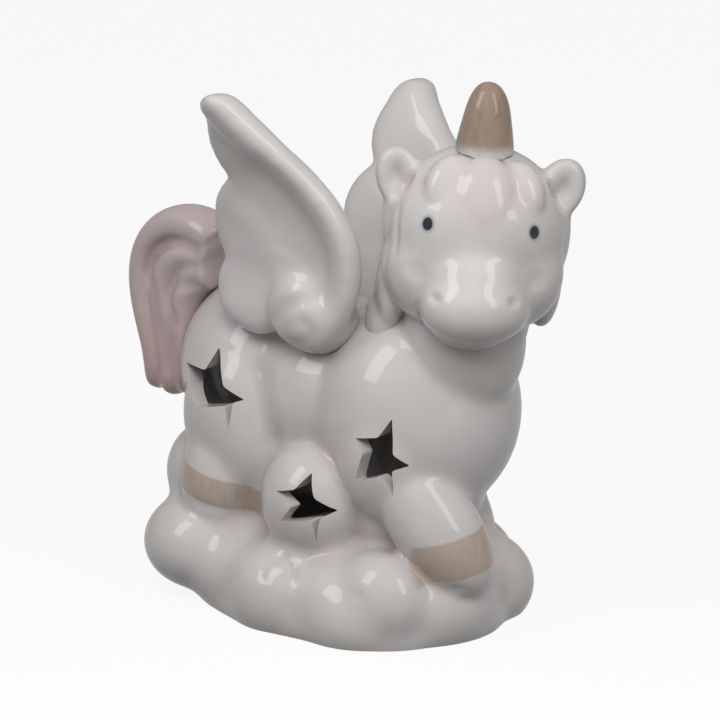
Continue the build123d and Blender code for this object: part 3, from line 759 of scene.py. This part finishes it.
def dressed(piece, material):
    """Gives the piece one material."""
    piece.data.materials.clear()
    piece.data.materials.append(material)


def colour(name, description, shade):
    """A colour that a user would change, set as it looks on a screen."""
    shares = [c / 255 for c in shade]
    linear = [s / 12.92 if s <= 0.04045 else ((s + 0.055) / 1.055) ** 2.4 for s in shares]
    return bpy.props.FloatVectorProperty(
        name=name, description=description, subtype="COLOR", size=3, min=0, max=1, default=linear)


def length(name, description, size):
    """A length that a user would change."""
    return bpy.props.FloatProperty(
        name=name, description=description, default=size * MM, subtype="DISTANCE", unit="LENGTH")


class PORCELAIN_PG_Colours(bpy.types.PropertyGroup):
    """Colours of the clay, the paints and the glaze."""

    body: colour("Body", "White porcelain under clear glaze", (209, 206, 205))
    body_warm: colour("Warm body", "Where the glaze is a little thicker", (203, 199, 197))
    # Painted shade in the creases, where the glaze also pools thicker
    crease: colour("Crease", "Where glaze pools in a crease", (168, 152, 144))
    pink: colour("Pink", "Airbrushed pink of the tail", (188, 160, 158))
    blush: colour("Blush", "Faint pink of the forelock and mane", (205, 194, 191))
    line: colour("Line", "Fine painted line between locks of hair", (196, 168, 158))
    tan: colour("Tan", "Brushed tan of the leg bands", (180, 162, 147))
    horn: colour("Horn", "Brushed tan of the horn", (150, 130, 114))
    horn_dark: colour("Dark horn", "Brush streaks of the horn", (122, 102, 86))
    eye: colour("Eye", "Painted eye", (24, 24, 29))
    halo: colour("Halo", "Blue-grey edge of the eye's paint", (150, 160, 172))


class PORCELAIN_PG_Sizes(bpy.types.PropertyGroup):
    """Sizes of the modelling."""

    body_grain: length("Body grain", "Size of one face on the body and the cloud", 0.9)
    head_grain: length("Head grain", "Size of one face on the head", 0.6)
    wing_grain: length("Wing grain", "Size of one face on the wings and the tail", 0.6)
    wall: length("Wall", "Thickness of the porcelain", 4.0)
    eye_size: length("Eye size", "Radius of a painted eye", 1.35)


def stars(piece):
    """Cuts the six windows."""
    for corners in WINDOWS:
        for side in (-1, 1):
            cut(piece, star_cutter(corners, side))


def leg_bands(points):
    """How far inside the painted bands of the legs each point lies: 0.5 at an edge."""
    share = np.zeros(len(points))
    for centre, reach, across, low, high in LEG_BANDS:
        inside = 1 - np.linalg.norm((points - np.array(centre)) / np.array(reach), axis=1)
        level = points @ np.array(across)
        within = np.minimum(level - low, high - level)
        filled = np.minimum(within * BAND_FILL, inside * PATCH_FILL)
        share = np.maximum(share, np.clip(0.5 + filled, 0, 1))
    return share


class PORCELAIN_OT_body(bpy.types.Operator):
    """Presses the cloud, the animal's body and the legs together and hollows them"""

    bl_idname = "porcelain.body"
    bl_label = "Cloud and Body"

    def execute(self, context):
        sizes, colours = context.scene.porcelain_sizes, context.scene.porcelain_colours
        grain, wall = sizes.body_grain / MM, sizes.wall / MM
        cloud_forms = mirrored(CLOUD_SIDE_FORMS + PUFF_FORMS) + CLOUD_FORMS + RIDGE_FORMS
        cloud = clay("cloud", cloud_forms, HOME, grain, CLOUD_ROUNDS)
        animal_forms = TORSO_FORMS + mirrored(LIMB_SIDE_FORMS) + LIMB_FORMS + NECK_FORMS
        animal = clay("animal", animal_forms, HOME, grain, ANIMAL_ROUNDS)
        piece = joined("porcelain_body", [cloud, animal])
        skinned(piece, grain)
        softened(piece, BODY_ROUNDS)
        for line, width, height in BODY_STROKES:
            stroke(piece, flowing(line), width, height)
        softened(piece, RELIEF_ROUNDS)
        crease_shade(piece)
        keep(piece, "band", leg_bands(points_of(piece)))
        outer_forms = CLOUD_FORMS[:1] + mirrored(PUFF_FORMS + LIMB_SIDE_FORMS[:2]) + TORSO_FORMS
        inner_forms = [(x, y, z, a - wall, b - wall, c - wall, tilt_x, tilt_y)
                       for x, y, z, a, b, c, tilt_x, tilt_y in outer_forms]
        chamber = clay("chamber", inner_forms, HOME, CHAMBER_GRAIN, CHAMBER_ROUNDS)
        cut(chamber, pillar("below_floor", *CHAMBER_SLAB, FLOOR_TOP, SLAB_SIDES))
        cut(piece, pillar("below_table", *TABLE_SLAB, 0, SLAB_SIDES))
        cut(piece, chamber)
        cut(piece, pillar("recess", RECESS_HALF_X, RECESS_HALF_Y, CUTTER_FOOT, FOOT_HEIGHT))
        cut(piece, pillar("lamp_hole", LAMP_HOLE, LAMP_HOLE, CUTTER_FOOT, FLOOR_TOP + CUTTER_RISE))
        stars(piece)
        smooth_shaded(piece, SHARP_EDGE)
        look = glaze("glaze_body", colours)
        edge = look.kept("band") + (look.noise(*BAND_EDGE_MARKS) - 0.5) * BAND_WAVER
        brushed = look.eased(look.noise(*BAND_MARKS), *BAND_COVER)
        painted(look, look.eased(edge, *NOISE_TURN) * brushed, colours.tan)
        dressed(piece, glazed(look))
        settle(piece, "figurine", "porcelain_body", *BODY_NODES)
        return {"FINISHED"}


class PORCELAIN_OT_head(bpy.types.Operator):
    """Presses the head together with its ears, forelock and mane"""

    bl_idname = "porcelain.head"
    bl_label = "Head"

    def execute(self, context):
        sizes, colours = context.scene.porcelain_sizes, context.scene.porcelain_colours
        grain = sizes.head_grain / MM
        place = head_frame()
        hair_forms = FORELOCK_FORMS + MANE_FORMS + mirrored(EAR_FORMS)
        skull = clay("skull", SKULL_FORMS, place, grain, SKULL_ROUNDS)
        hair = clay("hair", hair_forms, place, grain, HAIR_ROUNDS)
        piece = joined("porcelain_head", [skull, hair])
        skinned(piece, grain)
        softened(piece, HEAD_ROUNDS)
        for side in (-1, 1):
            x, y, z, half_x, half_y, half_z = EAR_CUP
            dab(piece, place, (side * x, y, z), (half_x, half_y, half_z), -EAR_CUP_DEPTH)
        for centre, radii, height in HEAD_DABS:
            dab(piece, place, centre, radii, height)
        for line, width, height in HEAD_STROKES:
            stroke(piece, in_frame(flowing(line), place), width, height)
        softened(piece, RELIEF_ROUNDS)
        crease_shade(piece)
        eyes = [laid_on(piece, np.array([[x, z]]), place, "front")[0] for x, z in EYES]
        points = points_of(piece)
        hair_lines = np.zeros(len(points))
        for line in HAIR_LINES:
            far = nearness(points, in_frame(flowing(line), place))[0]
            hair_lines = np.maximum(hair_lines, np.clip(1 - far / HAIR_LINE_REACH, 0, 1))
        keep(piece, "line", hair_lines)
        blush = np.zeros(len(points))
        for centre, radii in HAIR_PATCHES:
            there = in_frame([centre], place)[0]
            far = np.linalg.norm((points - there) / radii, axis=1)
            blush = np.maximum(blush, np.clip(BLUSH_FILL - BLUSH_FILL * far, 0, 1))
        keep(piece, "blush", blush)
        smooth_shaded(piece)
        look = glaze("glaze_head", colours)
        painted(look, look.kept("blush"), colours.blush)
        painted(look, look.eased(look.kept("line"), *HAIR_LINE_TURN), colours.line, HAIR_LINE_SHARE)
        size = sizes.eye_size / MM
        for eye in eyes:
            far = look.away(eye, EYE_OVAL)
            halo = look.eased(far, size * HALO_RING[0], size * HALO_RING[1], HALO_SHARE, 0.0)
            pupil = look.eased(far, size * EYE_RING[0], size * EYE_RING[1], 1.0, 0.0)
            painted(look, halo, colours.halo)
            painted(look, pupil, colours.eye)
        dressed(piece, glazed(look))
        settle(piece, "figurine", "porcelain_head", "head_casting")
        return {"FINISHED"}


def narrowed(piece):
    """Draws the horn in round its own axis, more towards its tip."""
    points = points_of(piece)
    rise = (points[:, 2] - points[:, 2].min()) / np.ptp(points[:, 2])
    foot = points[rise < HORN_END].mean(axis=0)
    peak = points[rise > 1 - HORN_END].mean(axis=0)
    rise = rise[:, None]
    axis = foot + (rise - HORN_END / 2) / (1 - HORN_END) * (peak - foot)
    points[:, :2] = axis[:, :2] + (points - axis)[:, :2] * (1 - HORN_TAPER * rise**2)
    set_points(piece, points)


class PORCELAIN_OT_horn(bpy.types.Operator):
    """Makes the horn's soft blunt cone and brushes it tan"""

    bl_idname = "porcelain.horn"
    bl_label = "Horn"

    def execute(self, context):
        colours = context.scene.porcelain_colours
        piece = copied("porcelain_horn", "horn", HORN_GRAIN, HORN_SOFTENING)
        narrowed(piece)
        crease_shade(piece, HORN_CREASE_SHADE_ROUNDS)
        smooth_shaded(piece)
        look = glaze("glaze_horn", colours)
        level = look.level()
        edge = level + look.noise(*HORN_EDGE_MARKS) * HORN_EDGE_WAVER
        painted(look, look.eased(edge, *HORN_FADE), colours.horn)
        streaks = look.eased(look.noise(*HORN_MARKS), *HORN_MARKS_TURN)
        streaks = streaks * look.eased(level, *HORN_STREAK_FADE)
        painted(look, streaks, colours.horn_dark, HORN_STREAK_SHARE)
        dressed(piece, glazed(look, HORN_RIPPLE))
        settle(piece, "figurine", "porcelain_horn", "horn")
        return {"FINISHED"}


class PORCELAIN_OT_wings(bpy.types.Operator):
    """Softens the wings and presses in their dished field, rim, creases and scroll"""

    bl_idname = "porcelain.wings"
    bl_label = "Wings"

    def execute(self, context):
        sizes, colours = context.scene.porcelain_sizes, context.scene.porcelain_colours
        grain = sizes.wing_grain / MM
        for side in ("right", "left"):
            piece = copied(f"porcelain_wing_{side}", f"wing_{side}", grain, WING_SOFTENING)
            shift = np.array([0, 0] if side == "right" else [-LEFT_WING_FORWARD, -LEFT_WING_DROP])
            for line, width, height, ends in WING_STROKES:
                on_wing = laid_on(piece, flowing(line) + shift, HOME, side)
                stroke(piece, on_wing, width, height, ends)
            softened(piece, WING_RELIEF_ROUNDS)
            crease_shade(piece)
            smooth_shaded(piece)
            dressed(piece, glazed(glaze(f"glaze_wing_{side}", colours)))
            settle(piece, "figurine", "porcelain_wings", f"wing_{side}")
        return {"FINISHED"}


class PORCELAIN_OT_tail(bpy.types.Operator):
    """Softens the tail's strands, presses in its grooves and tints it pink"""

    bl_idname = "porcelain.tail"
    bl_label = "Tail"

    def execute(self, context):
        sizes, colours = context.scene.porcelain_sizes, context.scene.porcelain_colours
        piece = copied("porcelain_tail", "tail", sizes.wing_grain / MM, TAIL_SOFTENING)
        for line in TAIL_GROOVES:
            for side in ("right", "left"):
                stroke(piece, laid_on(piece, flowing(line), HOME, side), *TAIL_GROOVE)
        softened(piece, TAIL_RELIEF_ROUNDS)
        crease_shade(piece)
        smooth_shaded(piece)
        look = glaze("glaze_tail", colours)
        level = look.level()
        edge = look.noise(*TAIL_MARKS) * TAIL_WAVER + level
        painted(look, look.eased(edge, *TAIL_FADE), colours.pink)
        dressed(piece, glazed(look))
        settle(piece, "figurine", "porcelain_tail", "tail")
        return {"FINISHED"}


def moulded(name, shade, roughness, metallic):
    """A plain finish with a fine grain of its own."""
    look = Look(name, Metallic=metallic)
    grained = look.noise(MOULD_GRAIN, 2.0)
    darker = tuple(c * MOULD_DARKER for c in shade)
    look.feed("Base Color", look.mixed(look.eased(grained, *NOISE_TURN), darker, shade))
    wear = [roughness * share for share in MOULD_WEAR]
    look.feed("Roughness", look.eased(look.noise(MOULD_GRAIN / 3), *NOISE_TURN, *wear))
    look.bumped(grained, MOULD_RELIEF)
    return look.material


class PORCELAIN_OT_lamp(bpy.types.Operator):
    """Finishes the lamp in the base and its circuit"""

    bl_idname = "porcelain.lamp"
    bl_label = "Lamp"

    def execute(self, context):
        for name, nodes, shade, roughness, metallic in LAMP_FINISHES:
            material = moulded(name, shade, roughness, metallic)
            for node in nodes:
                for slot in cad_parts[node].material_slots:
                    slot.material = material
        return {"FINISHED"}


def direction(azimuth, elevation):
    """The way from the figure to a light or the camera."""
    a, e = math.radians(azimuth), math.radians(elevation)
    return Vector((math.sin(a) * math.cos(e), -math.cos(a) * math.cos(e), math.sin(e)))


def aimed(name, data, angles, away):
    """Puts a light or the camera round the figure, looking at it."""
    made = bpy.data.objects.new(name, data)
    bpy.context.scene.collection.objects.link(made)
    back = direction(*angles)
    made.location = TARGET + back * away
    made.rotation_euler = back.to_track_quat("Z", "Y").to_euler()
    return made


class PORCELAIN_OT_stage(bpy.types.Operator):
    """Lays the pale floor and sets the lights and the camera"""

    bl_idname = "porcelain.stage"
    bl_label = "Stage"

    def execute(self, context):
        bpy.ops.object.select_all(action="DESELECT")
        bpy.ops.mesh.primitive_plane_add(size=FLOOR_SIZE, location=(0, 0, -FLOOR_DROP))
        floor = bpy.context.object
        floor.name = "floor"
        look = Look("pale_floor", Roughness=0.8)
        glossy = look.node("ShaderNodeLightPath", output="Is Glossy Ray")
        seen = look.node("ShaderNodeLightPath", output="Is Camera Ray") + glossy * FLOOR_IN_GLAZE
        look.feed("Base Color", look.mixed(seen, FLOOR_BOUNCE, FLOOR_SEEN))
        glow = look.node("ShaderNodeEmission", {}, {"Color": (1, 1, 1, 1), "Strength": 1.0})
        lit = Tone(look, look.shader.outputs[0])
        pale = look.node("ShaderNodeMixShader", {}, {0: seen * FLOOR_GLOW, 1: lit, 2: glow})
        output = next(n for n in look.tree.nodes if n.type == "OUTPUT_MATERIAL")
        look.tree.links.new(pale.socket, output.inputs["Surface"])
        dressed(floor, look.material)
        world = bpy.data.worlds.new("studio")
        world.use_nodes = True
        background = next(n for n in world.node_tree.nodes if n.type == "BACKGROUND")
        background.inputs["Color"].default_value = WORLD_TINT
        background.inputs["Strength"].default_value = WORLD_LEVEL
        context.scene.world = world
        for name, away, angles, strength, size, tint in LIGHTS:
            data = bpy.data.lights.new(name, "AREA")
            data.energy = strength
            data.color = tint
            data.shape = "RECTANGLE"
            data.size, data.size_y = size
            lamp = aimed(name, data, angles, away)
            lamp.visible_glossy = name != "key"
        data = bpy.data.cameras.new("camera")
        data.lens = CAMERA_LENS
        data.sensor_width = CAMERA_SENSOR
        data.shift_x, data.shift_y = CAMERA_SHIFT
        data.clip_start = CAMERA_CLIP
        context.scene.camera = aimed("camera", data, CAMERA_ANGLES, CAMERA_AWAY)
        context.scene.view_settings.view_transform = "Standard"
        return {"FINISHED"}


class PORCELAIN_PT_panel(bpy.types.Panel):
    """The figure's pieces, colours and sizes."""

    bl_idname = "PORCELAIN_PT_panel"
    bl_label = "Porcelain Unicorn"
    bl_space_type = "VIEW_3D"
    bl_region_type = "UI"
    bl_category = "Porcelain"

    def draw(self, context):
        for operator in OPERATORS:
            self.layout.operator(operator.bl_idname)
        for group in (context.scene.porcelain_sizes, context.scene.porcelain_colours):
            for name in group.bl_rna.properties.keys():
                if name not in ("rna_type", "name"):
                    self.layout.prop(group, name)


OPERATORS = (
    PORCELAIN_OT_body,
    PORCELAIN_OT_head,
    PORCELAIN_OT_horn,
    PORCELAIN_OT_wings,
    PORCELAIN_OT_tail,
    PORCELAIN_OT_lamp,
    PORCELAIN_OT_stage,
)
CLASSES = (PORCELAIN_PG_Colours, PORCELAIN_PG_Sizes) + OPERATORS + (PORCELAIN_PT_panel,)


def register():
    """Registers the classes and hangs the settings on the scene."""
    for group in CLASSES:
        bpy.utils.register_class(group)
    bpy.types.Scene.porcelain_colours = bpy.props.PointerProperty(type=PORCELAIN_PG_Colours)
    bpy.types.Scene.porcelain_sizes = bpy.props.PointerProperty(type=PORCELAIN_PG_Sizes)


def unregister():
    """Takes the settings and the classes away again."""
    del bpy.types.Scene.porcelain_sizes
    del bpy.types.Scene.porcelain_colours
    for group in reversed(CLASSES):
        bpy.utils.unregister_class(group)


def main():
    """Makes every piece and the stage."""
    register()
    bpy.ops.porcelain.body()
    bpy.ops.porcelain.head()
    bpy.ops.porcelain.horn()
    bpy.ops.porcelain.wings()
    bpy.ops.porcelain.tail()
    bpy.ops.porcelain.lamp()
    bpy.ops.porcelain.stage()


if __name__ == "__main__":
    main()
